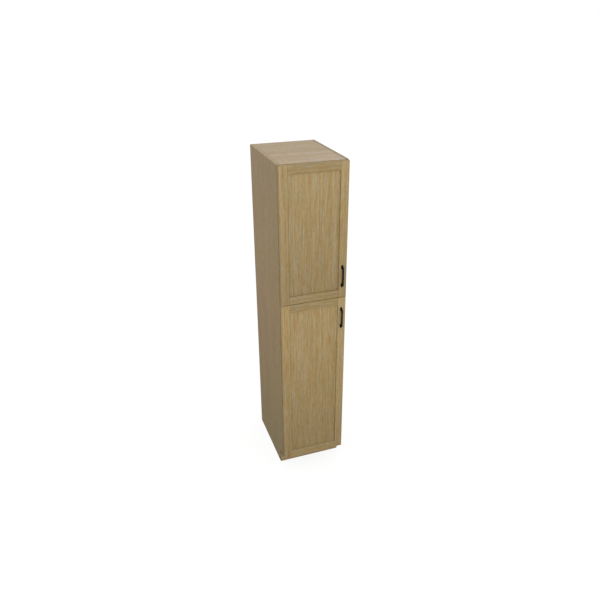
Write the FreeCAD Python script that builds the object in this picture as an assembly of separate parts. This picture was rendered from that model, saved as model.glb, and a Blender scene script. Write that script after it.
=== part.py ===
import FreeCAD, Part
import os

# A tall broom cupboard in oak: a frameless carcass on a recessed toe kick, closed by two
# frame-and-panel doors, one over the other, which both hang on concealed hinges on the left.
#
# X runs to the right, Y to the back and Z up. The origin is on the floor, in the middle of the
# overall width, and of the overall depth from the front of the handles to the rear of the sides.

os.makedirs("parts", exist_ok=True)

# ---------------------------------------------------------------- driving dimensions, millimetres

# Carcass
cabinet_width = 457.0
cabinet_height = 2286.0
carcass_depth = 610.0
board = 18.0                    # thickness of every carcass board
board_arris = 0.5               # rounding of the boards' outer edges
kick_height = 106.0             # underside of the bottom board, and top of the toe-kick notch
kick_notch_depth = 76.0
kick_skin_thickness = 5.0
kick_skin_gap = 1.5             # below the notch's upper edge
back_thickness = 6.0
back_groove_depth = 5.5
back_groove_play = 0.5          # between the back's edge and the bottom of its groove
back_rail_height = 96.0
wall_hole_spacing = 300.0
wall_hole_radius = 3.0

# Joints between the carcass boards
dowel_radius = 4.0
dowel_in_side = 11.0
dowel_in_board = 19.0
dowel_hole_spare = 1.0          # depth left beyond a dowel in the board's end
cam_setback = 60.0              # from the front and from the rear edge of a board
dowel_setback = 124.0           # likewise
rail_dowel_spread = 48.0        # between the two dowels in a rail's end
cam_radius = 7.5
cam_height = 12.5
cam_centre_distance = 34.0      # from the board's end
cam_bolt_thread_radius = 2.5
cam_bolt_neck_radius = 3.0
cam_bolt_head_radius = 3.4
cam_bolt_head_length = 5.0
cam_bolt_in_side = 11.0
cam_slot_length = 9.0
cam_slot_width = 1.4
cam_slot_depth = 2.0
bored_fit = 0.05                # radial play of dowels, cams, pins and screws in their holes

# Shelves and shelf pins
shelf_setback = 20.0            # from the carcass front
shelf_back_gap = 4.0
shelf_end_gap = 1.0
pin_hole_radius = 2.5
pin_hole_depth = 10.0
pin_pitch = 32.0
pin_front_setback = 37.0
pin_rear_setback = 60.0         # from the front of the back panel
pin_row_margin = 150.0          # least height from a fixed board to the first or last hole
pin_lug_radius = 4.0
pin_lug_length = 9.0
pin_seat = 2.5                  # flat top of the lug above the hole's axis

# Doors
door_thickness = 22.0
door_gap = 3.0                  # from the carcass front to the back of a shut door
side_reveal = 3.0
top_reveal = 4.0
door_split_height = 1370.5      # middle of the gap between the doors, and of the fixed shelf
door_split_gap = 3.0
frame_width = 55.0              # face width of stiles and rails
frame_arris = 1.0               # rounding of their front edges
panel_thickness = 8.0
panel_recess = 8.0              # from the frame's front to the panel's
panel_groove_depth = 10.0
panel_play = 1.0                # between the panel's edge and the bottom of its groove
bumper_radius = 4.0
bumper_end_distance = 40.0
bumper_clearance = 0.2          # to the side board's front edge

# Handles
handle_centres = 128.0
handle_edge_distance = 31.0     # from the door's free edge
upper_handle_rise = 151.5       # handle's middle above the upper door's lower edge
lower_handle_drop = 152.5       # handle's middle below the lower door's upper edge
handle_projection = 25.0
handle_bar_radius = 5.8
handle_elbow_radius = 7.0
handle_foot_half_width = 8.5
handle_foot_half_height = 16.5
handle_foot_rim = 1.5
handle_flare_length = 9.0
handle_flare_collar = 0.4       # the flare's narrow end stands round the bar by this
handle_screw_radius = 2.0
handle_screw_in_foot = 8.0
handle_screw_head_radius = 4.0
handle_screw_head_height = 2.2
handle_screw_clearance = 0.3    # radial, in the stile

# Concealed hinges. Distances "in" are from the door's hinge edge.
upper_hinge_count = 2
lower_hinge_count = 3
hinge_end_distance = 100.0
cup_radius = 17.5
cup_edge_distance = 5.0
cup_depth = 12.4
cup_wall = 1.0
cup_bore_spare = 0.6
cup_flange_thickness = 1.0
cup_flange_lip = 2.0
cup_screw_spacing = 48.0
cup_screw_offset = 6.0          # from the cup's centre, away from the hinge edge
cup_screw_pad_radius = 6.5
cup_screw_radius = 1.75
cup_screw_length = 15.0
cup_screw_head_radius = 3.2
cup_screw_head_height = 1.2
plate_setback = 37.0            # its screws' line, from the carcass front
plate_half_height = 26.0
plate_half_depth = 9.0
plate_base_thickness = 2.5
plate_ridge_height = 8.0
plate_ridge_half_width = 5.3
plate_ridge_front = 14.0        # from the carcass front
plate_ridge_back = 62.0
plate_screw_spacing = 32.0
plate_screw_radius = 2.5
plate_screw_depth = 12.5
plate_screw_head_radius = 4.2
plate_screw_head_height = 1.6
arm_back = 67.0                 # rear end of the arm, from the carcass front
arm_shoulder = 9.0              # where its nose begins, from the carcass front
arm_rise = 14.5                 # crown of the arm above the side board's face
arm_half_width = 6.5
arm_sheet = 1.0
arm_nose_radius = 2.4
arm_screw_front = 22.0          # from the carcass front
arm_screw_back = 52.0
arm_screw_radius = 2.4
arm_screw_head_radius = 3.6
arm_screw_head_height = 1.8
pivot_rise = 19.0               # pivot pin above the side board's face
pivot_depth = 4.5               # pivot pin below the back of the shut door
pivot_pin_radius = 1.2
pivot_running_fit = 0.05
link_end_in = 10.5              # far end of the link in the cup
link_end_depth = 5.0
link_slack = 1.5                # by which the link falls short of that point
link_sheet = 1.6
link_side_play = 0.3
link_eye_radius = 2.1
link_tip_radius = 1.1
link_bend_drop = 4.5
link_bend_start = 3.0           # from the link's tip
link_bend_end = 8.0

# ---------------------------------------------------------------- places worked out from them

overall_depth = carcass_depth + door_gap + door_thickness + handle_projection
rear = overall_depth / 2
carcass_front = rear - carcass_depth
door_back = carcass_front - door_gap
door_front = door_back - door_thickness

outer_half = cabinet_width / 2
inner_half = outer_half - board
top_under = cabinet_height - board
bottom_top = kick_height + board
shelf_under = door_split_height - board / 2
shelf_top = door_split_height + board / 2

back_rear = rear - board
back_front = back_rear - back_thickness
kick_front = carcass_front + kick_notch_depth

door_left = side_reveal - outer_half
door_right = outer_half - side_reveal
lower_door_span = (kick_height, door_split_height - door_split_gap / 2)
upper_door_span = (door_split_height + door_split_gap / 2, cabinet_height - top_reveal)

panel_front = door_front + panel_recess
panel_back = panel_front + panel_thickness

cup_x = door_left + cup_edge_distance + cup_radius
cup_screw_x = cup_x + cup_screw_offset
hinge_face = -inner_half        # face of the left side board, where the hinge plates sit
plate_y = carcass_front + plate_setback
pivot_x = hinge_face + pivot_rise
pivot_y = door_back - pivot_depth

X = FreeCAD.Vector(1, 0, 0)
Y = FreeCAD.Vector(0, 1, 0)
Z = FreeCAD.Vector(0, 0, 1)
SIDES = (-1, 1)                 # left and right


# ---------------------------------------------------------------- simple shapes

def block(x, y, z):
    """A box between the two values of each pair."""
    corner = FreeCAD.Vector(min(x), min(y), min(z))
    return Part.makeBox(abs(x[1] - x[0]), abs(y[1] - y[0]), abs(z[1] - z[0]), corner)


def rod(x, y, z, direction, length, radius):
    """A round bar that starts at a point and runs along a direction."""
    return Part.makeCylinder(radius, length, FreeCAD.Vector(x, y, z), direction)


def prism(points, z_low, z_high):
    """A plan outline, given as (x, y) points, raised from one height to another."""
    corners = [FreeCAD.Vector(x, y, z_low) for x, y in points]
    outline = Part.makePolygon(corners + corners[:1])
    return Part.Face(outline).extrude(Z * (z_high - z_low))


def eased(shape, radius, *planes):
    """The shape with its edges rounded where they lie in the given planes, as ("y", value)."""
    def lies_in(edge, axis, value):
        return all(abs(getattr(end.Point, axis) - value) < 1e-6 for end in edge.Vertexes)

    edges = [edge for edge in shape.Edges if any(lies_in(edge, *plane) for plane in planes)]
    return shape.makeFillet(radius, edges)


def save(name, *shapes):
    """Write one sub-part, which may be several separate solids, to its own file."""
    solids = [solid for shape in shapes for solid in shape.Solids]
    piece = solids[0] if len(solids) == 1 else Part.makeCompound(solids)
    piece.exportStep("parts/" + name + ".step")


# ---------------------------------------------------------------- carcass joints

def board_fixing_depths(rear_edge, setback):
    """The two places along a board's end where it is fixed, near its front and its rear."""
    return (carcass_front + setback, rear_edge - setback)


def fixed_boards():
    """Underside height of each fixed board."""
    return (kick_height, shelf_under, top_under)


def rail_spans():
    """Lowest and highest point of each back rail, by name."""
    half = back_rail_height / 2
    return {
        "bottom_back_rail": (bottom_top, bottom_top + back_rail_height),
        "middle_back_rail": (door_split_height - half, door_split_height + half),
        "top_back_rail": (top_under - back_rail_height, top_under),
    }


def upright_dowels(y, z_low, z_high):
    """Dowel places in the end of an upright board: a rail or the toe-kick board."""
    middle = (z_low + z_high) / 2
    return [(y, middle - rail_dowel_spread / 2), (y, middle + rail_dowel_spread / 2)]


def board_dowels(under):
    return [(y, under + board / 2) for y in board_fixing_depths(rear, dowel_setback)]


def board_cams(under):
    return [(y, under + board / 2) for y in board_fixing_depths(rear, cam_setback)]


rail_middle_y = rear - board / 2
kick_middle_y = kick_front + board / 2


def all_dowels():
    places = []
    for under in fixed_boards():
        places += board_dowels(under)
    for span in rail_spans().values():
        places += upright_dowels(rail_middle_y, *span)
    return places + upright_dowels(kick_middle_y, 0, kick_height)


def all_cams():
    return [place for under in fixed_boards() for place in board_cams(under)]


def end_bores(places, depth, radius):
    """Bores into both ends of a board that lies between the sides."""
    return [rod(side * inner_half, y, z, X * -side, depth, radius)
            for side in SIDES for y, z in places]


def dowel_bores(places):
    return end_bores(places, dowel_in_board + dowel_hole_spare, dowel_radius)


def cam_bores(under):
    """For each cam: its round pocket in the board's underside and the bolt's way to it."""
    places = board_cams(under)
    neck_bore = dowel_radius
    pockets = [rod(side * (inner_half - cam_centre_distance), y, under, Z, cam_height, cam_radius)
               for side in SIDES for y, _ in places]
    return pockets + end_bores(places, cam_centre_distance, neck_bore)


def dowels():
    length = dowel_in_side + dowel_in_board
    return [rod(side * (inner_half + dowel_in_side), y, z, X * -side, length, dowel_radius - bored_fit)
            for side in SIDES for y, z in all_dowels()]


def cam_bolt(side, y, z):
    """Thread in the side board, plain neck, and a head that the cam grips."""
    thread = rod(side * (inner_half + cam_bolt_in_side), y, z, X * -side,
                 cam_bolt_in_side, cam_bolt_thread_radius - bored_fit)
    head_start = inner_half - cam_centre_distance + cam_bolt_head_length / 2
    neck = rod(side * inner_half, y, z, X * -side, inner_half - head_start, cam_bolt_neck_radius)
    head = rod(side * head_start, y, z, X * -side, cam_bolt_head_length, cam_bolt_head_radius)
    return thread.fuse([neck, head])


def cam_housing(side, y, z):
    """A drum with a channel for the bolt's head and a cross slot for the screwdriver."""
    under = z - board / 2
    centre = side * (inner_half - cam_centre_distance)
    drum = rod(centre, y, under, Z, cam_height, cam_radius - bored_fit)
    inward = centre - side * cam_bolt_head_length
    channel = rod(inward, y, z, X * side, cam_radius + cam_bolt_head_length,
                  cam_bolt_head_radius + bored_fit)
    long, thin = cam_slot_length / 2, cam_slot_width / 2
    depth = (under, under + cam_slot_depth)
    cross = [block((centre - long, centre + long), (y - thin, y + thin), depth),
             block((centre - thin, centre + thin), (y - long, y + long), depth)]
    return drum.cut([channel] + cross)


# ---------------------------------------------------------------- shelves on pins

def pin_rows():
    """Heights of the shelf-pin holes in the upper space, centred between its fixed boards."""
    room = top_under - shelf_top
    count = int((room - 2 * pin_row_margin) // pin_pitch) + 1
    first = (shelf_top + top_under - (count - 1) * pin_pitch) / 2
    return [first + row * pin_pitch for row in range(count)]


pin_columns = (carcass_front + pin_front_setback, back_front - pin_rear_setback)
shelf_names = ("low_adjustable_shelf", "high_adjustable_shelf")


def shelf_rows():
    """The hole height that each adjustable shelf uses, so that the spaces come out about even."""
    room = top_under - shelf_top
    share = room / (len(shelf_names) + 1)
    wanted = [shelf_top + share * (number + 1) for number in range(len(shelf_names))]
    return [min(pin_rows(), key=lambda row: abs(row - height)) for height in wanted]


def pin_holes(side):
    return [rod(side * inner_half, y, z, X * side, pin_hole_depth, pin_hole_radius)
            for y in pin_columns for z in pin_rows()]


def shelf_pin(side, y, z):
    """A shank in the side board and a round lug, flat on top, that the shelf rests on."""
    shank = rod(side * (inner_half + pin_hole_depth), y, z, X * -side, pin_hole_depth,
                pin_hole_radius - bored_fit)
    lug = rod(side * inner_half, y, z, X * -side, pin_lug_length, pin_lug_radius)
    above = block((side * inner_half, side * (inner_half - pin_lug_length)),
                  (y - pin_lug_radius, y + pin_lug_radius), (z + pin_seat, z + pin_lug_radius))
    return shank.fuse(lug.cut(above))


def adjustable_shelf(row):
    half = inner_half - shelf_end_gap
    under = row + pin_seat
    front = carcass_front + shelf_setback
    shelf = block((-half, half), (front, back_front - shelf_back_gap), (under, under + board))
    return eased(shelf, board_arris, ("y", front))


# ---------------------------------------------------------------- carcass boards

def back_groove_y():
    return (back_front, back_rear)


def side_board(side):
    """A side that runs to the floor, notched at the toe kick and bored for what it carries."""
    across = (side * inner_half, side * outer_half)
    shape = block(across, (carcass_front, rear), (0, cabinet_height))
    shape = eased(shape, board_arris, ("y", carcass_front), ("z", cabinet_height))
    notch = block(across, (carcass_front, kick_front), (0, kick_height))
    groove = block((side * inner_half, side * (inner_half + back_groove_depth)), back_groove_y(),
                   (bottom_top - back_groove_depth, top_under + back_groove_depth))
    bores = [rod(side * inner_half, y, z, X * side, dowel_in_side, dowel_radius)
             for y, z in all_dowels()]
    bores += [rod(side * inner_half, y, z, X * side, cam_bolt_in_side, cam_bolt_thread_radius)
              for y, z in all_cams()]
    bores += pin_holes(side)
    if side < 0:
        bores += [plate_screw_bore(z) for z in all_plate_screws()]
    return shape.cut([notch, groove] + bores)


def top_board():
    shape = block((-inner_half, inner_half), (carcass_front, rear), (top_under, cabinet_height))
    shape = eased(shape, board_arris, ("y", carcass_front), ("z", cabinet_height))
    groove = block((-inner_half, inner_half), back_groove_y(),
                   (top_under, top_under + back_groove_depth))
    return shape.cut([groove] + cam_bores(top_under) + dowel_bores(board_dowels(top_under)))


def bottom_board():
    shape = block((-inner_half, inner_half), (carcass_front, rear), (kick_height, bottom_top))
    shape = eased(shape, board_arris, ("y", carcass_front))
    groove = block((-inner_half, inner_half), back_groove_y(),
                   (bottom_top - back_groove_depth, bottom_top))
    return shape.cut([groove] + cam_bores(kick_height) + dowel_bores(board_dowels(kick_height)))


def fixed_shelf():
    shape = block((-inner_half, inner_half), (carcass_front, back_front), (shelf_under, shelf_top))
    shape = eased(shape, board_arris, ("y", carcass_front))
    return shape.cut(cam_bores(shelf_under) + dowel_bores(board_dowels(shelf_under)))


def wall_holes(y_pair):
    """Holes through the back and its top rail, for screws into the wall."""
    middle = top_under - back_rail_height / 2
    return [rod(side * wall_hole_spacing / 2, y_pair[0], middle, Y, y_pair[1] - y_pair[0],
                wall_hole_radius) for side in SIDES]


def back_panel():
    reach = back_groove_depth - back_groove_play
    half = inner_half + reach
    shape = block((-half, half), (back_front, back_rear), (bottom_top - reach, top_under + reach))
    return shape.cut(wall_holes((back_front, back_rear)))


def back_rail(name):
    span = rail_spans()[name]
    shape = block((-inner_half, inner_half), (back_rear, rear), span)
    bores = dowel_bores(upright_dowels(rail_middle_y, *span))
    if name == "top_back_rail":
        bores += wall_holes((back_rear, rear))
    return shape.cut(bores)


def toe_kick_board():
    shape = block((-inner_half, inner_half), (kick_front, kick_front + board), (0, kick_height))
    return shape.cut(dowel_bores(upright_dowels(kick_middle_y, 0, kick_height)))


def toe_kick_skin():
    """The oak face of the toe kick, as wide as the cupboard, in front of the notched sides."""
    front = kick_front - kick_skin_thickness
    shape = block((-outer_half, outer_half), (front, kick_front), (0, kick_height - kick_skin_gap))
    return eased(shape, board_arris, ("y", front))


# ---------------------------------------------------------------- hinges

def hinge_heights(span, count):
    """Heights of a door's hinges, evenly spaced between the first and the last."""
    low = span[0] + hinge_end_distance
    high = span[1] - hinge_end_distance
    return [low + (high - low) * number / (count - 1) for number in range(count)]


upper_hinges = hinge_heights(upper_door_span, upper_hinge_count)
lower_hinges = hinge_heights(lower_door_span, lower_hinge_count)


def pair_about(z, spacing):
    return (z - spacing / 2, z + spacing / 2)


def all_plate_screws():
    return [height for z in upper_hinges + lower_hinges for height in pair_about(z, plate_screw_spacing)]


def plate_screw_bore(z):
    return rod(hinge_face, plate_y, z, -X, plate_screw_depth, plate_screw_radius)


def hinge_cup(z):
    """A pressed cup sunk in the stile, with a flange that its two screws hold."""
    wall_radius = cup_radius - bored_fit
    body = rod(cup_x, door_back, z, -Y, cup_depth, wall_radius)
    flange = rod(cup_x, door_back, z, Y, cup_flange_thickness, cup_radius + cup_flange_lip)
    screws = pair_about(z, cup_screw_spacing)
    pads = [rod(cup_screw_x, door_back, height, Y, cup_flange_thickness, cup_screw_pad_radius)
            for height in screws]
    web = block((cup_screw_x - cup_screw_pad_radius, cup_screw_x + cup_screw_pad_radius),
                (door_back, door_back + cup_flange_thickness), screws)
    hollow = rod(cup_x, door_back + cup_flange_thickness, z, -Y,
                 cup_flange_thickness + cup_depth - cup_wall, wall_radius - cup_wall)
    holes = [rod(cup_screw_x, door_back, height, Y, cup_flange_thickness, cup_screw_radius + bored_fit)
             for height in screws]
    return body.fuse([flange, web] + pads).cut([hollow] + holes)


def cup_screw(z):
    head_seat = door_back + cup_flange_thickness
    head = rod(cup_screw_x, head_seat, z, Y, cup_screw_head_height, cup_screw_head_radius)
    shank = rod(cup_screw_x, head_seat, z, -Y, cup_flange_thickness + cup_screw_length,
                cup_screw_radius)
    return head.fuse(shank)


def cup_bores(z):
    """What the stile loses to one hinge: the cup's pocket and two screw holes."""
    pocket = rod(cup_x, door_back, z, -Y, cup_depth + cup_bore_spare, cup_radius)
    holes = [rod(cup_screw_x, door_back, height, -Y, cup_screw_length, cup_screw_radius + bored_fit)
             for height in pair_about(z, cup_screw_spacing)]
    return [pocket] + holes


def arm_screw_places():
    return (carcass_front + arm_screw_front, carcass_front + arm_screw_back)


def hinge_plate(z):
    """A winged base screwed to the side board, with a ridge that the arm straddles."""
    base = block((hinge_face, hinge_face + plate_base_thickness),
                 (plate_y - plate_half_depth, plate_y + plate_half_depth),
                 (z - plate_half_height, z + plate_half_height))
    ridge = block((hinge_face, hinge_face + plate_ridge_height),
                  (carcass_front + plate_ridge_front, carcass_front + plate_ridge_back),
                  (z - plate_ridge_half_width, z + plate_ridge_half_width))
    screws = [rod(hinge_face, plate_y, height, X, plate_base_thickness, plate_screw_radius + bored_fit)
              for height in pair_about(z, plate_screw_spacing)]
    threads = [rod(hinge_face, y, z, X, plate_ridge_height, arm_screw_radius + bored_fit)
               for y in arm_screw_places()]
    return base.fuse(ridge).cut(screws + threads)


def plate_screw(z):
    seat = hinge_face + plate_base_thickness
    head = rod(seat, plate_y, z, X, plate_screw_head_height, plate_screw_head_radius)
    thread = rod(seat, plate_y, z, -X, plate_base_thickness + plate_screw_depth,
                 plate_screw_radius - bored_fit)
    return head.fuse(thread)


def hinge_arm(z):
    """A pressed channel over the plate's ridge, whose two cheeks run on to hold the pivot pin."""
    seat = hinge_face + plate_base_thickness
    crown = hinge_face + arm_rise
    end = carcass_front + arm_back
    shoulder = carcass_front + arm_shoulder
    nose = pivot_x + arm_nose_radius
    low, high = z - arm_half_width, z + arm_half_width
    outline = [(seat, end), (seat, shoulder), (pivot_x - arm_nose_radius, pivot_y),
               (nose, pivot_y), (nose, door_back + arm_nose_radius), (crown, shoulder), (crown, end)]
    knob = rod(pivot_x, pivot_y, low, Z, high - low, arm_nose_radius)
    solid = prism(outline, low, high).fuse(knob)
    inside = [(seat - arm_sheet, end), (seat - arm_sheet, pivot_y - 2 * arm_nose_radius),
              (nose + arm_sheet, pivot_y - 2 * arm_nose_radius), (nose + arm_sheet, door_back),
              (nose - arm_sheet, door_back), (nose - arm_sheet, door_back + arm_nose_radius),
              (crown - arm_sheet, shoulder), (crown - arm_sheet, end)]
    channel = prism(inside, low + arm_sheet, high - arm_sheet)
    pin_hole = rod(pivot_x, pivot_y, low, Z, high - low, pivot_pin_radius)
    screw_holes = [rod(crown - arm_sheet, y, z, X, arm_sheet, arm_screw_radius + bored_fit)
                   for y in arm_screw_places()]
    return solid.cut([channel, pin_hole] + screw_holes)


def arm_screws(z):
    crown = hinge_face + arm_rise
    pieces = []
    for y in arm_screw_places():
        head = rod(crown, y, z, X, arm_screw_head_height, arm_screw_head_radius)
        shank = rod(crown, y, z, -X, arm_rise, arm_screw_radius)
        pieces.append(head.fuse(shank))
    return pieces


def pivot_pin(z):
    return rod(pivot_x, pivot_y, z - arm_half_width, Z, 2 * arm_half_width, pivot_pin_radius)


def hinge_link(z):
    """The bent plate that swings on the pivot pin, with its other end inside the cup."""
    pivot = FreeCAD.Vector(pivot_x, pivot_y, 0)
    goal = FreeCAD.Vector(door_left + link_end_in, door_back - link_end_depth, 0)
    along = (pivot - goal).normalize()
    aside = FreeCAD.Vector(along.y, -along.x, 0)
    tip = goal + along * link_slack
    bends = [tip + along * link_bend_start + aside * link_bend_drop,
             tip + along * link_bend_end + aside * link_bend_drop]
    half = arm_half_width - arm_sheet - link_side_play
    low, high = z - half, z + half

    def strip(start, finish):
        across = Z.cross(finish - start).normalize() * (link_sheet / 2)
        corners = [start - across, finish - across, finish + across, start + across]
        return prism([(corner.x, corner.y) for corner in corners], low, high)

    route = [tip] + bends + [pivot]
    strips = [strip(start, finish) for start, finish in zip(route[:-1], route[1:])]
    rounds = [(tip, link_tip_radius), (bends[0], link_sheet / 2), (bends[1], link_sheet / 2),
              (pivot, link_eye_radius)]
    rolls = [rod(centre.x, centre.y, low, Z, high - low, radius) for centre, radius in rounds]
    eye = rod(pivot_x, pivot_y, low, Z, high - low, pivot_pin_radius + pivot_running_fit)
    return strips[0].fuse(strips[1:] + rolls).cut(eye).removeSplitter()


# ---------------------------------------------------------------- doors

def stile(x_outer, x_inner, span):
    """An upright frame member, grooved all along its inner edge."""
    shape = eased(block((x_outer, x_inner), (door_front, door_back), span), frame_arris,
                  ("y", door_front))
    inward = 1 if x_outer > x_inner else -1
    groove = block((x_inner, x_inner + inward * panel_groove_depth), (panel_front, panel_back), span)
    return shape.cut(groove)


def frame_rail(z_outer, z_inner):
    """A level frame member, grooved along its inner edge, with a tongue in each stile's groove."""
    x_span = (door_left + frame_width, door_right - frame_width)
    shape = eased(block(x_span, (door_front, door_back), (z_outer, z_inner)), frame_arris,
                  ("y", door_front))
    tongues = [block((x_span[0] - panel_groove_depth, x_span[0]), (panel_front, panel_back),
                     (z_outer, z_inner)),
               block((x_span[1], x_span[1] + panel_groove_depth), (panel_front, panel_back),
                     (z_outer, z_inner))]
    inward = 1 if z_outer > z_inner else -1
    groove = block((x_span[0] - panel_groove_depth, x_span[1] + panel_groove_depth),
                   (panel_front, panel_back), (z_inner, z_inner + inward * panel_groove_depth))
    return shape.fuse(tongues).cut(groove)


def door_panel(span):
    reach = panel_groove_depth - panel_play
    return block((door_left + frame_width - reach, door_right - frame_width + reach),
                 (panel_front, panel_back),
                 (span[0] + frame_width - reach, span[1] - frame_width + reach))


handle_x = door_right - handle_edge_distance


def handle(z):
    """A round bar bent at both ends, each on an oval foot that flares out to the door."""
    low, high = pair_about(z, handle_centres)
    bar_y = door_front - handle_projection + handle_bar_radius
    elbow = handle_elbow_radius
    slant = elbow * (1 - 0.5 ** 0.5)

    def at(y, height):
        return FreeCAD.Vector(handle_x, y, height)

    path = Part.Wire([
        Part.LineSegment(at(door_front, low), at(bar_y + elbow, low)).toShape(),
        Part.Arc(at(bar_y + elbow, low), at(bar_y + slant, low + slant),
                 at(bar_y, low + elbow)).toShape(),
        Part.LineSegment(at(bar_y, low + elbow), at(bar_y, high - elbow)).toShape(),
        Part.Arc(at(bar_y, high - elbow), at(bar_y + slant, high - slant),
                 at(bar_y + elbow, high)).toShape(),
        Part.LineSegment(at(bar_y + elbow, high), at(door_front, high)).toShape(),
    ])
    section = Part.Wire([Part.Circle(at(door_front, low), Y, handle_bar_radius).toShape()])
    bar = path.makePipeShell([section], True, False)
    feet = [foot for height in (low, high) for foot in handle_foot(height)]
    bores = [rod(handle_x, door_front, height, -Y, handle_screw_in_foot,
                 handle_screw_radius + bored_fit) for height in (low, high)]
    return bar.fuse(feet).cut(bores)


def handle_foot(z):
    """The foot's upright rim and the flare from it to the round bar."""
    def oval(y, half_width, half_height):
        centre = FreeCAD.Vector(handle_x, y, z)
        curve = Part.Ellipse(centre + Z * half_height, centre + X * half_width, centre)
        return Part.Wire([curve.toShape()])

    rim_top = door_front - handle_foot_rim
    wide = oval(door_front, handle_foot_half_width, handle_foot_half_height)
    rim = Part.Face(wide).extrude(Y * -handle_foot_rim)
    flare = Part.makeLoft([oval(rim_top, handle_foot_half_width, handle_foot_half_height),
                           oval(rim_top - handle_flare_length,
                                handle_bar_radius + handle_flare_collar,
                                handle_bar_radius + 2 * handle_flare_collar)], True, True)
    return [rim, flare]


def handle_screw(z):
    head = rod(handle_x, door_back, z, Y, handle_screw_head_height, handle_screw_head_radius)
    shank = rod(handle_x, door_back, z, -Y, door_thickness + handle_screw_in_foot,
                handle_screw_radius)
    return head.fuse(shank)


def handle_screw_bores(z):
    return [rod(handle_x, door_back, height, -Y, door_thickness,
                handle_screw_radius + handle_screw_clearance)
            for height in pair_about(z, handle_centres)]


def bumper(z):
    thickness = door_gap - bumper_clearance
    return rod(outer_half - board / 2, door_back, z, Y, thickness, bumper_radius)


def save_door(name, span, handle_height, hinges):
    """Every piece that swings with one door."""
    hinge_stile = stile(door_left, door_left + frame_width, span)
    handle_stile = stile(door_right, door_right - frame_width, span)
    pockets = [bore for z in hinges for bore in cup_bores(z)]
    save(name + "_hinge_stile", hinge_stile.cut(pockets))
    save(name + "_handle_stile", handle_stile.cut(handle_screw_bores(handle_height)))
    save(name + "_top_rail", frame_rail(span[1], span[1] - frame_width))
    save(name + "_bottom_rail", frame_rail(span[0], span[0] + frame_width))
    save(name + "_panel", door_panel(span))
    save(name + "_handle", handle(handle_height))
    save(name + "_handle_screws", *[handle_screw(z) for z in pair_about(handle_height, handle_centres)])
    save(name + "_hinge_cups", *[hinge_cup(z) for z in hinges])
    save(name + "_cup_screws",
         *[cup_screw(height) for z in hinges for height in pair_about(z, cup_screw_spacing)])
    save(name + "_bumpers", bumper(span[0] + bumper_end_distance), bumper(span[1] - bumper_end_distance))


def save_hinge_bases(name, hinges):
    """What stays on the carcass of one door's hinges, and the links that swing between."""
    save(name + "_hinge_plates", *[hinge_plate(z) for z in hinges])
    save(name + "_plate_screws",
         *[plate_screw(height) for z in hinges for height in pair_about(z, plate_screw_spacing)])
    save(name + "_hinge_arms", *[hinge_arm(z) for z in hinges])
    save(name + "_arm_screws", *[screw for z in hinges for screw in arm_screws(z)])
    save(name + "_pivot_pins", *[pivot_pin(z) for z in hinges])
    save(name + "_hinge_links", *[hinge_link(z) for z in hinges])


# ---------------------------------------------------------------- the sub-parts

save("left_side", side_board(-1))
save("right_side", side_board(1))
save("top_board", top_board())
save("bottom_board", bottom_board())
save("fixed_shelf", fixed_shelf())
save("back_panel", back_panel())
for rail_name in rail_spans():
    save(rail_name, back_rail(rail_name))
save("toe_kick_board", toe_kick_board())
save("toe_kick_skin", toe_kick_skin())

for shelf_name, hole_row in zip(shelf_names, shelf_rows()):
    save(shelf_name, adjustable_shelf(hole_row))
save("shelf_pins", *[shelf_pin(side, y, z) for side in SIDES for y in pin_columns for z in shelf_rows()])

save("dowels", *dowels())
save("cam_bolts", *[cam_bolt(side, y, z) for side in SIDES for y, z in all_cams()])
save("cam_housings", *[cam_housing(side, y, z) for side in SIDES for y, z in all_cams()])

save_door("upper_door", upper_door_span, upper_door_span[0] + upper_handle_rise, upper_hinges)
save_door("lower_door", lower_door_span, lower_door_span[1] - lower_handle_drop, lower_hinges)
save_hinge_bases("upper", upper_hinges)
save_hinge_bases("lower", lower_hinges)
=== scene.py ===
import math

import bmesh
import bpy
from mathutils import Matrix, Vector


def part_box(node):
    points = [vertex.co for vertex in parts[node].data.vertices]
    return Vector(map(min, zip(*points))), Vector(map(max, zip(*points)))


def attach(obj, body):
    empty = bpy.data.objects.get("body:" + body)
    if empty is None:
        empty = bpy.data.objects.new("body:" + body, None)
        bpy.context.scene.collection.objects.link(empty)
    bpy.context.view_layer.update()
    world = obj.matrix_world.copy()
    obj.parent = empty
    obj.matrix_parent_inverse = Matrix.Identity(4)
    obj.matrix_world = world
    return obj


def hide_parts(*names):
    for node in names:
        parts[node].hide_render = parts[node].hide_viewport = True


# ------------------------------------------------------------------ the bare cupboard
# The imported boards, doors and fittings, each in its place. Every section below takes the
# pieces of one step of the assembly, in the order in which a fitter would put them together.

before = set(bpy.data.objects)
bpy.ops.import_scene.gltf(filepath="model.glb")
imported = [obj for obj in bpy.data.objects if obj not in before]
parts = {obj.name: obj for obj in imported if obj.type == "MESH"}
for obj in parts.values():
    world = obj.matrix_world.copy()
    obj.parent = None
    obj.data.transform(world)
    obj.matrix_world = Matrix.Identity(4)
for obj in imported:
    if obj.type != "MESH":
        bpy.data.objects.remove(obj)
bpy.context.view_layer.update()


# ------------------------------------------------------------------ side boards
# Two 18 mm boards faced and edged with straight-grained oak veneer under a satin lacquer. The
# grain runs from floor to top. They are notched for the toe kick, grooved for the back and
# drilled for shelf pins, and the drilled holes show the brown chipboard inside.


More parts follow.
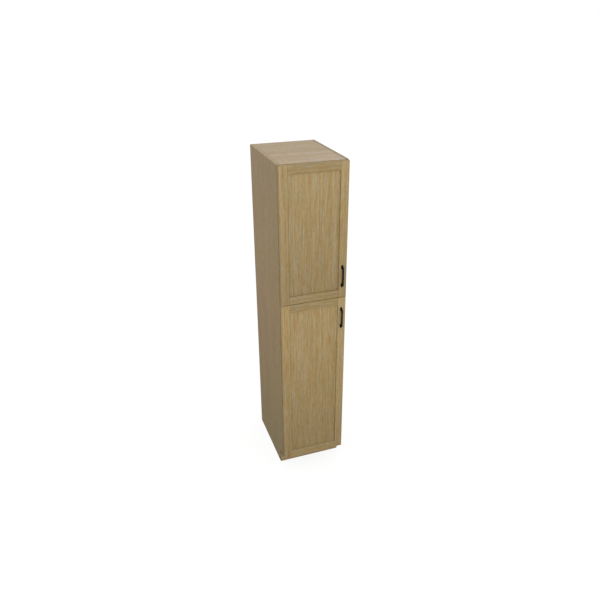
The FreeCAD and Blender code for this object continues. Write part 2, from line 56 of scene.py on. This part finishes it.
class Socket:
    """One socket of a node tree. Arithmetic on it adds Math nodes, or Vector Math on vectors."""

    def __init__(self, tree, link=None):
        self.tree, self.link = tree, link

    def node(self, kind, sockets=None, out=0, **settings):
        """Adds a node: its settings first, then the values or links of its sockets."""
        families = ("ShaderNode", "GeometryNode", "FunctionNode")
        types = [family + kind for family in families if hasattr(bpy.types, family + kind)]
        made = self.tree.nodes.new(types[0])
        for setting, value in settings.items():
            setattr(made, setting, value)
        for name, value in (sockets or {}).items():
            socket = made.inputs[name]
            for given in value if socket.is_multi_input else [value]:
                if isinstance(given, Socket):
                    self.tree.links.new(given.link, socket)
                elif socket.type == "RGBA":
                    socket.default_value = (*given, 1)
                elif socket.type == "VECTOR" and isinstance(given, (int, float)):
                    socket.default_value = (given,) * 3
                else:
                    socket.default_value = given
        return Socket(self.tree, made.outputs[out] if made.outputs else None)

    def reckon(self, operation, *sides):
        """Works out one sum, on vectors where any side is a vector."""
        vectors = [
            isinstance(side, tuple) or isinstance(side, Socket) and side.link.type != "VALUE"
            for side in sides
        ]
        kind = "VectorMath" if any(vectors) else "Math"
        return self.node(kind, dict(enumerate(sides)), operation=operation)

    def __add__(self, other):
        return self.reckon("ADD", self, other)

    def __radd__(self, other):
        return self.reckon("ADD", other, self)

    def __sub__(self, other):
        return self.reckon("SUBTRACT", self, other)

    def __rsub__(self, other):
        return self.reckon("SUBTRACT", other, self)

    def __mul__(self, other):
        return self.reckon("MULTIPLY", self, other)

    def __rmul__(self, other):
        return self.reckon("MULTIPLY", other, self)

    def __truediv__(self, other):
        return self.reckon("DIVIDE", self, other)

    def __rtruediv__(self, other):
        return self.reckon("DIVIDE", other, self)

    def lesser(self, other):
        return self.reckon("MINIMUM", self, other)

    def greater(self, other):
        return self.reckon("MAXIMUM", self, other)

    def absolute(self):
        return self.reckon("ABSOLUTE", self)

    def noise(self, across, along, detail=2.0, roughness=0.5):
        """Cloudy noise from 0 to 1, at so many waves a metre across the grain and along it."""
        sockets = {"Vector": self * (across, across, along), "Scale": 1.0}
        return self.node("TexNoise", {**sockets, "Detail": detail, "Roughness": roughness})

    def rise(self, low, high):
        """0 below low, 1 above high, and smooth between them."""
        sockets = {"Value": self, "From Min": low, "From Max": high}
        return self.node("MapRange", sockets, interpolation_type="SMOOTHSTEP")

    def between(self, first, second):
        """The first colour where this is 0 and the second where it is 1."""
        factor, first_colour, second_colour, mixed_colour = 0, 6, 7, 2
        sockets = {factor: self, first_colour: first, second_colour: second}
        return self.node("Mix", sockets, out=mixed_colour, data_type="RGBA")

    def axes(self):
        return [self.node("SeparateXYZ", {"Vector": self}, out=axis) for axis in "XYZ"]


def new_finish(name):
    made = bpy.data.materials.new(name)
    made.use_nodes = True
    made.node_tree.nodes.clear()
    return made, Socket(made.node_tree)


def sealed(finish, colour, roughness, height=None, depth=0.0002, **plain):
    """Closes a finish with its shader. Where height grows by 1, the surface rises by the depth,
    in metres."""
    sockets = {"Base Color": colour, "Roughness": roughness}
    sockets.update({name.replace("_", " "): value for name, value in plain.items()})
    if height is not None:
        relief = {"Height": height, "Distance": depth, "Strength": 1.0}
        sockets["Normal"] = finish.node("Bump", relief)
    shader = finish.node("BsdfPrincipled", sockets)
    finish.node("OutputMaterial", {"Surface": shader})


def coat_with(material, *names):
    for name in names:
        mesh = parts[name].data
        mesh.materials.clear()
        mesh.materials.append(material)


# How a board is turned so that its grain lies along the pattern's Z.
grain_turns = {"upright": (0, 0, 0), "level": (0, -math.pi / 2, 0)}

# How far apart in one endless piece of wood two boards are cut whose seeds differ by 1.
seed_step = (1.37, 0.71, 0.53)

# What one step of tone, of warmth and of green does to the red, green and blue of oak.
tone_step = (0.0056, 0.0085, 0.0165)
warmth_step = (0.0112, 0.003, -0.0125)
green_step = (-0.155, 0.11, -0.155)
darkest_oak = (0.05, 0.05, 0.05)

chip_dark, chip_pale = (0.13, 0.075, 0.035), (0.36, 0.25, 0.14)
glue_line = 0.0002


def oak(
    name, box, grain, seed, honey, contrast=1.0, ring=26, roughness=0.5, gloss=0.28, core=None,
    shade=None,
):
    """Satin-lacquered light oak for the board in that box. Ring is how strongly the long year
    rings show, core the box inside which chipboard shows, and shade turns the point's x, y and
    z into how light the wood is."""
    material, wood = new_finish(name)
    place = wood.node("TexCoord", out="Object")
    cut_from = tuple(seed * step for step in seed_step)
    turned = {"Vector": place, "Rotation": grain_turns[grain], "Location": cut_from}
    leaf = place.node("Mapping", turned)
    sway = (leaf.noise(4, 0.9, 1) - 0.5) * 0.004
    grown = leaf + wood.node("CombineXYZ", {"X": sway, "Y": sway, "Z": 0.0})

    bands = leaf.noise(12, 0.4, 1)
    rings = grown.noise(115, 0.6, 1)
    streaks = grown.noise(105, 3.4, 2, 0.6)
    flecks = grown.noise(170, 13, 1)
    dashes = grown.noise(210, 30, 1)
    silver = grown.noise(160, 9, 1).rise(0.58, 0.74) * bands.rise(0.40, 0.62) * 1.7
    lines = grown.noise(420, 3, 2, 0.6)
    fibres = grown.noise(1500, 16, 2, 0.65)
    pores = grown.noise(1100, 75, 1).rise(0.60, 0.67)
    blush = grown.noise(80, 8, 2, 0.6)
    moss = grown.noise(130, 26, 1)

    # The middle one of a point's three distances to the faces is the one to the nearest edge.
    axes = place.axes()
    first, second, third = [
        (axis - low).lesser(high - axis) for axis, low, high in zip(axes, *box)
    ]
    least = first.lesser(second).lesser(third)
    most = first.greater(second).greater(third)
    # Edges are darkened: partly dark joint lines, partly painted shade at edges and in gaps.
    edge_line_and_painted_shade = 1 - (first + second + third - least - most).rise(0.0002, 0.0022)

    tone = (bands - 0.5) * 12 + (rings - 0.5) * ring + (streaks - 0.5) * 60
    tone = tone + (flecks - 0.5) * 60 + (dashes - 0.5) * 52 + silver * 16
    tone = tone + (lines - 0.5) * 26 + (fibres - 0.5) * 26
    tone = tone * contrast - pores * 30 - edge_line_and_painted_shade * 9
    warmth = (blush - 0.5) * 28 - (rings - 0.5) * 4 - (flecks - 0.5) * 12 - silver * 4
    tint = warmth * contrast * warmth_step + (moss - 0.5) * green_step
    colour = (tone * tone_step + tint + (1, 1, 1)).greater(darkest_oak) * honey
    if shade:
        colour = colour * shade(*axes)

    satin = roughness + lines * 0.08 + pores * 0.12
    if core:
        board = place.noise(260, 260, 3, 0.7).rise(0.35, 0.68).between(chip_dark, chip_pale)
        inside = 1.0
        for axis, (low, high) in zip(axes, core):
            beyond = axis.rise(high - glue_line, high)
            inside = axis.rise(low, low + glue_line) * (1 - beyond) * inside
        colour = inside.between(colour, board)
        satin = satin + inside * 0.35
    height = lines * 0.3 + fibres * 0.3 - pores * 0.6
    sealed(wood, colour, satin, height, 0.0001, Specular_IOR_Level=gloss)
    return material


def side_tone_and_painted_shade(top, cut_edge):
    """Painted shade darkens a side towards its foot, where less light reaches near the floor. The
    side is also yellower towards the front, and its cut edge on top has a tone of its own."""
    at_foot, palest = (0.778, 0.802, 0.665), (0.985, 1.0, 1.09)
    painted_shade_lift_per_metre, each_metre_back = (0.16, 0.11, 0.179), (0.04, 0.02, 0.22)

    def shade(x, y, z):
        # Painted shade: darker towards the floor, up to the height where the side is palest.
        paling = (z * painted_shade_lift_per_metre + at_foot).lesser(palest)
        yellowing = y * each_metre_back + (1, 1, 1)
        cut = z.rise(top - 0.0015, top - 0.0002)
        return paling * yellowing * (cut * cut_edge + (1, 1, 1))

    return shade


carcass_honey = (0.365, 0.264, 0.140)
carcass_gloss = 0.15
veneer = 0.0006

# The notch is veneered like the other edges, so chipboard shows only from a little way behind it
# and above it.
behind_notch, above_notch = 0.08, 0.12

for name, seed, cut_edge in (
    ("left_side", 3, (0.19, 0.22, 0.34)),
    ("right_side", 8, (-0.08, -0.06, 0.01)),
):
    low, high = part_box(name)
    chipboard = (
        (low.x + veneer, high.x - veneer),
        (low.y + behind_notch, high.y - veneer),
        (above_notch, high.z - veneer),
    )
    sheet = oak(
        name + "_oak", (low, high), "upright", seed, carcass_honey, contrast=0.95, roughness=0.55,
        gloss=carcass_gloss, core=chipboard, shade=side_tone_and_painted_shade(high.z, cut_edge),
    )
    coat_with(sheet, name)


# ------------------------------------------------------------------ boards between the sides
# Top, bottom and the fixed shelf behind the gap between the doors, of the same veneered board
# with the grain running from left to right. They are pulled to the sides by cam fittings.


def top_lightness(x, y, z):
    """Two leaves of veneer meet in the top, the front one paler, and dust lies in its end
    joints."""
    front_leaf, change_to_rear_leaf = (1.070, 1.068, 1.09), (-0.080, -0.098, -0.17)
    leaf_tone = y.rise(-0.03, 0.01) * change_to_rear_leaf + front_leaf
    half_length = parts["top_board"].dimensions.x / 2
    dust = 1 - (half_length - x.absolute()).rise(0.0, 0.007)
    return leaf_tone * (1 - dust * 0.4)


edging, end_veneer = 0.005, 0.02

for name, seed, contrast, ring, gloss, shade in (
    ("top_board", 17, 1.3, 60, 0.7, top_lightness),
    ("bottom_board", 20, 0.6, 26, carcass_gloss, None),
    ("fixed_shelf", 23, 0.6, 26, carcass_gloss, None),
):
    low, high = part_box(name)
    chipboard = (
        (low.x + end_veneer, high.x - end_veneer),
        (low.y + edging, high.y - edging),
        (low.z + veneer, high.z - veneer),
    )
    sheet = oak(
        name + "_oak", (low, high), "level", seed, carcass_honey, contrast, ring, roughness=0.45,
        gloss=gloss, core=chipboard, shade=shade,
    )
    coat_with(sheet, name)


# ------------------------------------------------------------------ back and its rails
# A 6 mm back faced with oak on both sides stands in grooves. Three rails of birch plywood stand
# behind it, doweled between the sides, and the top one is drilled for two wall screws.

sheet = oak(
    "back_oak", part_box("back_panel"), "upright", 31, carcass_honey, contrast=0.5, roughness=0.55,
    gloss=carcass_gloss,
)
coat_with(sheet, "back_panel")

birch_shadow, birch_light, birch_fibre = (0.56, 0.42, 0.26), (0.66, 0.53, 0.36), (0.45, 0.31, 0.17)
dark_ply, light_ply = (0.30, 0.18, 0.09), (0.62, 0.47, 0.30)


def plywood(name, seed, thickness_axis, ply=0.0015):
    """Raw birch plywood: pale faces with a faint figure, and edges in light and dark plies."""
    material, wood = new_finish(name)
    place = wood.node("TexCoord", out="Object")
    turned = {"Vector": place, "Rotation": grain_turns["level"], "Location": (seed, seed * 0.3, 0)}
    leaf = place.node("Mapping", turned)
    figure = leaf.noise(22, 1.4, 3, 0.6)
    fibres = leaf.noise(600, 14, 2)
    face = figure.rise(0.34, 0.68).between(birch_shadow, birch_light)
    face = (fibres.rise(0.5, 0.75) * 0.35).between(face, birch_fibre)

    depth = place.node("SeparateXYZ", {"Vector": place}, out=thickness_axis)
    layers = place.node("Math", {0: depth * (math.pi / ply)}, operation="SINE")
    plies = layers.rise(-0.15, 0.15).between(dark_ply, light_ply)
    normal = wood.node("NewGeometry", out="Normal")
    facing = normal.node("SeparateXYZ", {"Vector": normal}, out=thickness_axis)
    edge = 1 - facing.absolute().rise(0.4, 0.8)
    sealed(wood, edge.between(face, plies), 0.62 + fibres * 0.1, fibres)
    return material


coat_with(plywood("rail_ply", 4, "Y"), "bottom_back_rail", "middle_back_rail", "top_back_rail")


# ------------------------------------------------------------------ toe kick
# A plywood board doweled between the sides carries the kick, and a thin oak-veneered skin as
# wide as the cupboard is glued over it and over the edges of the notched sides.


def kick_lightness(x, y, z):
    """The skin's cut ends are raw and dark, and painted shadow darkens its face beside them.
    Painted shade darkens its upper part, under the carcass."""
    half_length = parts["toe_kick_skin"].dimensions.x / 2
    # Raw dark end faces, and painted shadow on the face within 2 mm of them.
    dark_end_and_painted_shadow = 1 - (half_length - x.absolute()).rise(0.0005, 0.0020)
    # Painted shade on the upper part of the skin, under the carcass.
    painted_shade_under_carcass = z.rise(0.03, 0.09)
    return (1 - dark_end_and_painted_shadow * 0.75) * (1 - painted_shade_under_carcass * 0.3)


coat_with(plywood("kick_ply", 11, "Y"), "toe_kick_board")
sheet = oak(
    "kick_oak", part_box("toe_kick_skin"), "level", 37, carcass_honey, contrast=0.5,
    shade=kick_lightness,
)
coat_with(sheet, "toe_kick_skin")


# ------------------------------------------------------------------ loose shelves and their pins
# Two shelves of veneered board, which lift out. Each lies on four nickel-plated pins with a
# flat-topped lug, pushed into the rows of holes in the sides.

for name, seed in (("low_adjustable_shelf", 41), ("high_adjustable_shelf", 48)):
    sheet = oak(
        name + "_oak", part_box(name), "level", seed, carcass_honey, contrast=0.5, roughness=0.55,
        gloss=carcass_gloss,
    )
    coat_with(sheet, name)


def metal(
    name, colour, roughness, blotches=0.06, graininess=900, depth=0.00004, metallic=1.0, **plain
):
    """Plated, cast or painted metal: a faintly uneven tone and a fine-grained skin."""
    material, skin = new_finish(name)
    place = skin.node("TexCoord", out="Object")
    cloud = place.noise(120, 120, 2)
    grit = place.noise(graininess, graininess, 2, 0.6)
    dull = [channel * (1 - 2.5 * blotches) for channel in colour]
    tone = cloud.rise(0.3, 0.7).between(dull, colour)
    satin = roughness + cloud * blotches + grit * blotches
    sealed(skin, tone, satin, grit, depth, Metallic=metallic, **plain)
    return material


nickel = metal("bright_nickel", (0.66, 0.64, 0.60), 0.36, metallic=0.85)
coat_with(nickel, "shelf_pins")


# ------------------------------------------------------------------ dowels and cam fittings
# Plain beech dowels line the boards up. Steel bolts in the sides are gripped by drums of cast
# zinc, sunk in the underside of each board and turned with a screwdriver.

beech_dark, beech_pale = (0.46, 0.29, 0.16), (0.62, 0.45, 0.28)
beech, wood = new_finish("dowel_beech")
place = wood.node("TexCoord", out="Object")
along_dowel = place.node("Mapping", {"Vector": place, "Rotation": grain_turns["level"]})
fibres = along_dowel.noise(900, 30, 2)
sealed(wood, fibres.rise(0.35, 0.7).between(beech_dark, beech_pale), 0.7, fibres)
coat_with(beech, "dowels")

plated_steel = metal("zinc_plated_steel", (0.56, 0.56, 0.55), 0.3)
coat_with(plated_steel, "cam_bolts")
cast_zinc = metal("cast_zinc", (0.50, 0.50, 0.49), 0.42, blotches=0.1, graininess=1400)
coat_with(cast_zinc, "cam_housings")


# ------------------------------------------------------------------ door frames
# Each door has two upright stiles and two level rails of solid oak, 22 mm thick, tongued and
# glued where they meet, with the front edges lightly rounded so that a fine joint shows.

door_honey = (0.365, 0.260, 0.118)
rail_honey = tuple(channel * 0.83 for channel in door_honey)
tongue = 0.010

# Where the streak along the edge of a piece begins and ends, measured inward, and where the
# rounding of its front edges does, measured from the face.
streak_begins, streak_ends = (0.003, 0.013), (0.014, 0.025)
rounding_begins, rounding_ends = 0.0006, 0.0016


def drift(door, at_foot=0.80, climb=0.21):
    """The boards of a door are cut one above the other, and the wood pales towards its top."""
    low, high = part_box(door + "_hinge_stile")
    return lambda z: (z - low.z) * (climb / (high.z - low.z)) + at_foot


def streaked(inward, y, front, streak_tone):
    """Inward is how far a point lies from one edge of a piece of the frame. A streak with a tone
    of its own runs along that edge, and the piece's flanks are paler than its face."""
    streak = inward.rise(*streak_begins) * (1 - inward.rise(*streak_ends))
    flank = y.rise(front + rounding_begins, front + rounding_ends)
    return (streak * streak_tone + (1, 1, 1)) * (flank * 0.10 + 1)


def stile_lightness(low, high, paling, tone, end_grain_and_painted_shade):
    """A stile's head is darker, partly as end grain that takes more lacquer and partly as painted
    shade under the front edge of the top board.
    """

    def shade(x, y, z):
        head = z.rise(high.z - 0.0015, high.z - 0.0003)
        face = streaked(x - low.x, y, low.y, (0.04, 0.07, 0.16)) * (paling(z) * tone)
        return face * (1 - head * end_grain_and_painted_shade)

    return shade


def rail_lightness(low, high, tone):
    """Glue darkens a rail where it meets the stiles."""

    def shade(x, y, z):
        clear_of_glue = (x - low.x).lesser(high.x - x).rise(tongue, tongue + 0.005)
        face = streaked(high.z - z, y, low.y, (0.055, 0.10, 0.28)) * tone
        return face * (clear_of_glue * 0.1 + 0.9)

    return shade


for door, first_seed, stile_tone, top_rail_tone, bottom_rail_tone in (
    ("upper_door", 51, 1.0, 1.01, 0.98),
    ("lower_door", 67, 1.04, (0.96, 0.955, 0.88), (1.10, 1.12, 1.13)),
):
    # The handle stile's head is darkened, partly as end grain and partly as painted shade.
    for piece, seed, end_grain_and_painted_shade in (
        ("hinge_stile", first_seed, 0.0),
        ("handle_stile", first_seed + 3, 0.22),
    ):
        name = f"{door}_{piece}"
        low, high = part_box(name)
        shade = stile_lightness(low, high, drift(door), stile_tone, end_grain_and_painted_shade)
        sheet = oak(name + "_oak", (low, high), "upright", seed, door_honey, ring=50, shade=shade)
        coat_with(sheet, name)
    for piece, seed, tone in (
        ("top_rail", first_seed + 6, top_rail_tone),
        ("bottom_rail", first_seed + 9, bottom_rail_tone),
    ):
        name = f"{door}_{piece}"
        low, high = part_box(name)
        shade = rail_lightness(low, high, tone)
        in_view = (low + Vector((tongue, 0, 0)), high - Vector((tongue, 0, 0)))
        sheet = oak(name + "_oak", in_view, "level", seed, rail_honey, ring=50, shade=shade)
        coat_with(sheet, name)


# ------------------------------------------------------------------ door panels
# A flat panel 8 mm thick, faced with oak veneer that shows the silvery flecks of quarter-cut
# wood, floats in the grooves of the frame. A darker line of painted shade runs along the frame.

groove = 0.0095


def panel_tone_and_painted_shade(low, high, paling):
    """Painted shade along the frame, widest at the panel's foot and faint on its right and head.
    """

    def shade(x, y, z):
        tone = paling(z)
        # Painted shade along each side of the frame: how far in it reaches, and how dark it is.
        for inward, shade_width, shade_darkest in (
            (x - low.x, 0.008, 0.88),
            (high.x - x, 0.008, 0.96),
            (high.z - z, 0.008, 0.96),
            (z - low.z, 0.022, 0.88),
        ):
            tone = tone * (inward.rise(groove, groove + shade_width) * (1 - shade_darkest) + shade_darkest)
        return tone

    return shade


for door, seed, at_foot, climb in (
    ("upper_door", 83, 0.757, 0.238),
    ("lower_door", 97, 0.80, 0.215),
):
    name = door + "_panel"
    low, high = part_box(name)
    shade = panel_tone_and_painted_shade(low, high, drift(door, at_foot, climb))
    sheet = oak(name + "_oak", (low, high), "upright", seed, door_honey, ring=42, shade=shade)
    coat_with(sheet, name)


# ------------------------------------------------------------------ handles
# A round bar bent at both ends, on two oval feet that flare out to the door, of die-cast zinc
# with a matt black powder coat. Two screws hold each one through the stile.

black_coat = metal(
    "black_powder_coat", (0.0035, 0.0032, 0.003), 0.6, blotches=0.05, graininess=2200,
    depth=0.00005, metallic=0.0, Specular_IOR_Level=0.12,
)


def recipe(name, *sizes):
    """Starts a Geometry Nodes tree with one named input for each size, and gives its sockets."""
    tree = bpy.data.node_groups.new(name, "GeometryNodeTree")
    tree.interface.new_socket("Geometry", in_out="INPUT", socket_type="NodeSocketGeometry")
    for size in sizes:
        tree.interface.new_socket(size, in_out="INPUT", socket_type="NodeSocketFloat")
    tree.interface.new_socket("Geometry", in_out="OUTPUT", socket_type="NodeSocketGeometry")
    given = tree.nodes.new("NodeGroupInput")
    return tree, [Socket(tree, output) for output in given.outputs if output.name]


def ending(tree, geometry, material):
    """Closes a recipe: instances are made real and get their material."""
    real = geometry.node("RealizeInstances", {"Geometry": geometry})
    coated = real.node("SetMaterial", {"Geometry": real, "Material": material})
    tree.links.new(coated.link, tree.nodes.new("NodeGroupOutput").inputs[0])


sharpest_smooth_bend = math.radians(38)


def cast(name, tree, points, edges, material, body, slot, replaced, **sizes):
    """Runs a recipe on some points and keeps the mesh that it gives, as one piece of the body."""
    mesh = bpy.data.meshes.new(name + "_points")
    mesh.from_pydata(points, edges, [])
    blank = bpy.data.objects.new(name + "_blank", mesh)
    bpy.context.scene.collection.objects.link(blank)
    modifier = blank.modifiers.new("recipe", "NODES")
    modifier.node_group = tree
    wanted = {size.replace("_", " "): value for size, value in sizes.items()}
    for item in tree.interface.items_tree:
        if item.in_out == "INPUT" and item.name in wanted:
            modifier[item.identifier] = wanted[item.name]
    worked = blank.evaluated_get(bpy.context.evaluated_depsgraph_get())
    shape = bpy.data.meshes.new_from_object(worked)
    shape.name = name
    blank.modifiers.clear()
    bpy.data.objects.remove(blank)
    shape.materials.clear()
    shape.materials.append(material)
    shape.shade_smooth()
    shape.set_sharp_from_angle(angle=sharpest_smooth_bend)
    piece = bpy.data.objects.new(name, shape)
    bpy.context.scene.collection.objects.link(piece)
    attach(piece, body)
    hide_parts(replaced)


bow, (
    path, bar, elbow, width, height, rim, flare, screw_distance, middle_x, door_face, middle_z
) = recipe(
    "bow_handle", "Bar Radius", "Elbow Radius", "Foot Half Width", "Foot Half Height", "Foot Rim",
    "Flare Length", "Screw Distance", "Middle X", "Door Face", "Middle Z",
)
steps_in_elbow, steps_along_bar, steps_round_bar = 12, 170, 28
line = path.node("MeshToCurve", {"Mesh": path})
bend = {"Curve": line, "Count": steps_in_elbow, "Radius": elbow, "Limit Radius": True}
line = line.node("FilletCurve", bend, mode="POLY")
line = line.node("ResampleCurve", {"Curve": line, "Count": steps_along_bar}, mode="COUNT")
circle = {"Resolution": steps_round_bar, "Radius": bar}
hoop = path.node("CurvePrimitiveCircle", circle, mode="RADIUS")
tube = line.node("CurveToMesh", {"Curve": line, "Profile Curve": hoop, "Fill Caps": True})

# The tube spreads near the door, about the middle of the foot that it stands on.
x, y, z = path.node("InputPosition").axes()
rise = z - middle_z
post = rise.reckon("SIGN", rise) * screw_distance / 2
narrowing = ((door_face - y - rim) / flare).greater(0).lesser(1)
spread = (1 - narrowing) * (1 - narrowing)
foot = {
    "X": (x - middle_x) * ((width / bar - 1) * spread + 1) + middle_x,
    "Y": y,
    "Z": middle_z + post + (rise - post) * ((height / bar - 1) * spread + 1),
}
moved = tube.node("SetPosition", {"Geometry": tube, "Position": path.node("CombineXYZ", foot)})
ending(bow, moved, black_coat)

bar_radius, elbow_radius = 0.0058, 0.008
foot_half_width, foot_half_height = 0.0085, 0.0165
foot_rim, flare_length = 0.0015, 0.010

for door in ("upper_door", "lower_door"):
    low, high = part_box(door + "_handle")
    across, bar_y = (low.x + high.x) / 2, low.y + bar_radius
    bottom, top = low.z + foot_half_height, high.z - foot_half_height
    corners = [
        (across, high.y, bottom), (across, bar_y, bottom),
        (across, bar_y, top), (across, high.y, top),
    ]
    cast(
        door + "_bow_handle", bow, corners, [(0, 1), (1, 2), (2, 3)], black_coat, door,
        "black_metal", door + "_handle", Bar_Radius=bar_radius, Elbow_Radius=elbow_radius,
        Foot_Half_Width=foot_half_width, Foot_Half_Height=foot_half_height, Foot_Rim=foot_rim,
        Flare_Length=flare_length, Screw_Distance=top - bottom, Middle_X=across, Door_Face=high.y,
        Middle_Z=(low.z + high.z) / 2,
    )


def solids_of(name, same_place=1e-6):
    """The lowest and highest corner of each separate solid of a node."""
    bare = bmesh.new()
    bare.from_mesh(parts[name].data)
    bmesh.ops.remove_doubles(bare, verts=bare.verts, dist=same_place)
    waiting, boxes = set(bare.verts), []
    while waiting:
        reached = newest = [waiting.pop()]
        while newest:
            linked = {edge.other_vert(vert) for vert in newest for edge in vert.link_edges}
            newest = list(linked & waiting)
            waiting.difference_update(newest)
            reached = reached + newest
        boxes.append([
            Vector(pick(vert.co[axis] for vert in reached) for axis in range(3))
            for pick in (min, max)
        ])
    bare.free()
    return sorted(boxes, key=lambda box: tuple(box[0]))


screw, (points, head, head_height, shank, shank_length, facing_x, facing_y) = recipe(
    "cross_head_screws", "Head Radius", "Head Height", "Shank Radius", "Shank Length", "Facing X",
    "Facing Y",
)

# How wide the flat top of a head is, and how long and wide its cross, in radii of the head. The
# cutter is as many head heights tall, and its middle lies on the top of the head.
flat_top, cross_length, cross_width, cutter_height = 0.74, 1.06, 0.24, 1.4
head_sides, shank_sides = 24, 20

cone = {"Vertices": head_sides, "Radius Top": head * flat_top, "Radius Bottom": head}
cap = points.node("MeshCone", {**cone, "Depth": head_height})
length = shank_length + head_height / 2
rod = points.node("MeshCylinder", {"Vertices": shank_sides, "Radius": shank, "Depth": length})
middle = points.node("CombineXYZ", {"Z": (shank_length - head_height / 2) * -0.5})
rod = points.node("Transform", {"Geometry": rod, "Translation": middle})
solid = points.node("MeshBoolean", {"Mesh 2": [cap, rod]}, operation="UNION", solver="EXACT")
for long_way, short_way in (("X", "Y"), ("Y", "X")):
    arm = {long_way: head * cross_length, short_way: head * cross_width}
    arm = points.node("CombineXYZ", {**arm, "Z": head_height * cutter_height})
    cutter = points.node("MeshCube", {"Size": arm})
    over_head = points.node("CombineXYZ", {"Z": head_height})
    cutter = points.node("Transform", {"Geometry": cutter, "Translation": over_head})
    cut = {"Mesh 1": solid, "Mesh 2": [cutter]}
    solid = points.node("MeshBoolean", cut, operation="DIFFERENCE", solver="EXACT")
direction = points.node("CombineXYZ", {"X": facing_x, "Y": facing_y})
facing = points.node("AlignRotationToVector", {"Vector": direction}, axis="Z")
seats = points.node("MeshToPoints", {"Mesh": points})
placed = {"Points": seats, "Instance": solid, "Rotation": facing}
ending(screw, seats.node("InstanceOnPoints", placed), plated_steel)


def screws(name, body, facing, head_radius, head_height, shank_radius):
    """Cross-head screws in the place of a node's plain ones, facing along X (0) or Y (1)."""
    seats, length = [], 0
    for low, high in solids_of(name):
        seat = (low + high) / 2
        seat[facing] = high[facing] - head_height
        length = seat[facing] - low[facing]
        seats.append(seat)
    cast(
        name + "_cross_headed", screw, seats, [], plated_steel, body, "screw_steel", name,
        Head_Radius=head_radius, Head_Height=head_height, Shank_Radius=shank_radius,
        Shank_Length=length, Facing_X=float(facing == 0), Facing_Y=float(facing == 1),
    )


for door in ("upper_door", "lower_door"):
    screws(door + "_handle_screws", door, 1, 0.004, 0.0022, 0.002)


# ------------------------------------------------------------------ concealed hinges
# Pressed steel, nickel plated: a cup sunk in the stile, a plate on the side board, an arm
# screwed over it and a link that swings on a pin at the arm's nose.

for row in ("upper", "lower"):
    coat_with(
        nickel, f"{row}_hinge_plates", f"{row}_hinge_arms", f"{row}_hinge_links",
        f"{row}_door_hinge_cups",
    )
    coat_with(plated_steel, f"{row}_pivot_pins")
    screws(f"{row}_plate_screws", "carcass", 0, 0.0042, 0.0016, 0.00245)
    screws(f"{row}_arm_screws", "carcass", 0, 0.0036, 0.0018, 0.0024)
    screws(f"{row}_door_cup_screws", f"{row}_door", 1, 0.0032, 0.0012, 0.00175)


# ------------------------------------------------------------------ bumpers
# Small round pads of clear silicone, stuck to the back of each door near its free edge. They
# take up the 3 mm between the door and the carcass, so that it shuts softly.

silicone_dull, silicone_clear = (0.70, 0.72, 0.71), (0.80, 0.81, 0.80)
silicone, drop = new_finish("clear_silicone")
haze = drop.node("TexCoord", out="Object").noise(300, 300, 2)
sealed(drop, haze.rise(0.3, 0.7).between(silicone_dull, silicone_clear), 0.2 + haze * 0.1, haze)
coat_with(silicone, "upper_door_bumpers", "lower_door_bumpers")


# ------------------------------------------------------------------ floor, light and camera
# A pale floor under an even studio sky, one large soft lamp far out in front and higher than the
# cupboard's middle, and a camera that looks down on the cupboard from its left front.


def shown_directly(finish):
    """1 for the rays that show the studio itself, straight on, mirrored or through glass, and 0
    for those that light the cupboard."""
    camera_ray, glossy_ray, glass_ray = [
        finish.node("LightPath", out=f"Is {kind} Ray")
        for kind in ("Camera", "Glossy", "Transmission")
    ]
    return (camera_ray + glossy_ray + glass_ray).rise(0, 1)


reach = 60.0
floor_mesh = bpy.data.meshes.new("studio_floor")
floor_mesh.from_pydata(
    [(-reach, -reach, 0), (reach, -reach, 0), (reach, reach, 0), (-reach, reach, 0)],
    [], [(0, 1, 2, 3)],
)
studio_floor = bpy.data.objects.new("studio_floor", floor_mesh)
bpy.context.scene.collection.objects.link(studio_floor)

shown_grey = (0.16, 0.16, 0.16)
near_grey, far_grey = (0.06, 0.06, 0.06), (0.50, 0.50, 0.49)
floor_material, floor = new_finish("studio_floor")
shown = shown_directly(floor)
x, y, _ = floor.node("TexCoord", out="Object").axes()
far = (x * x + y * y).rise(1.5, 8.0)
grey = shown.between(far.between(near_grey, far_grey), shown_grey)
matt = floor.node("BsdfDiffuse", {"Color": grey})
glow = floor.node("Emission", {"Color": (1, 1, 1), "Strength": shown * 0.875})
floor.node("OutputMaterial", {"Surface": floor.node("AddShader", {0: matt, 1: glow})})
floor_mesh.materials.append(floor_material)

sky = bpy.data.worlds.new("studio_sky")
sky.use_nodes = True
sky.node_tree.nodes.clear()
air = Socket(sky.node_tree)
shown = shown_directly(air)
up = air.node("TexCoord", out="Generated").axes()[2]
strength = (0.716 + up * 0.325) * (1 - shown) + shown
glow = air.node("Background", {"Color": (1, 1, 1), "Strength": strength})
air.node("OutputWorld", {"Surface": glow})
bpy.context.scene.world = sky

lamp = bpy.data.lights.new("soft_lamp", "AREA")
lamp.shape, lamp.size, lamp.size_y, lamp.energy = "RECTANGLE", 3.0, 3.0, 200.0
soft_lamp = bpy.data.objects.new("soft_lamp", lamp)
soft_lamp.location = (0.0, -7.5, 2.0)
towards_cupboard = Vector((0, 0, 1.2)) - soft_lamp.location
soft_lamp.rotation_euler = towards_cupboard.to_track_quat("-Z", "Y").to_euler()
bpy.context.scene.collection.objects.link(soft_lamp)

tilted_down, turned_right = math.radians(26.395), math.radians(19.638)
lens = bpy.data.cameras.new("camera")
lens.sensor_width, lens.lens = 36.0, 35.392
lens.shift_x, lens.shift_y = -0.01442, -0.0011
lens.clip_start, lens.clip_end = 0.05, 200.0
camera = bpy.data.objects.new("camera", lens)
camera.location = (-1.201, -3.564, 3.110)
camera.rotation_euler = (math.pi / 2 - tilted_down, 0, -turned_right)
bpy.context.scene.collection.objects.link(camera)
bpy.context.scene.camera = camera
bpy.context.scene.view_settings.view_transform = "Standard"
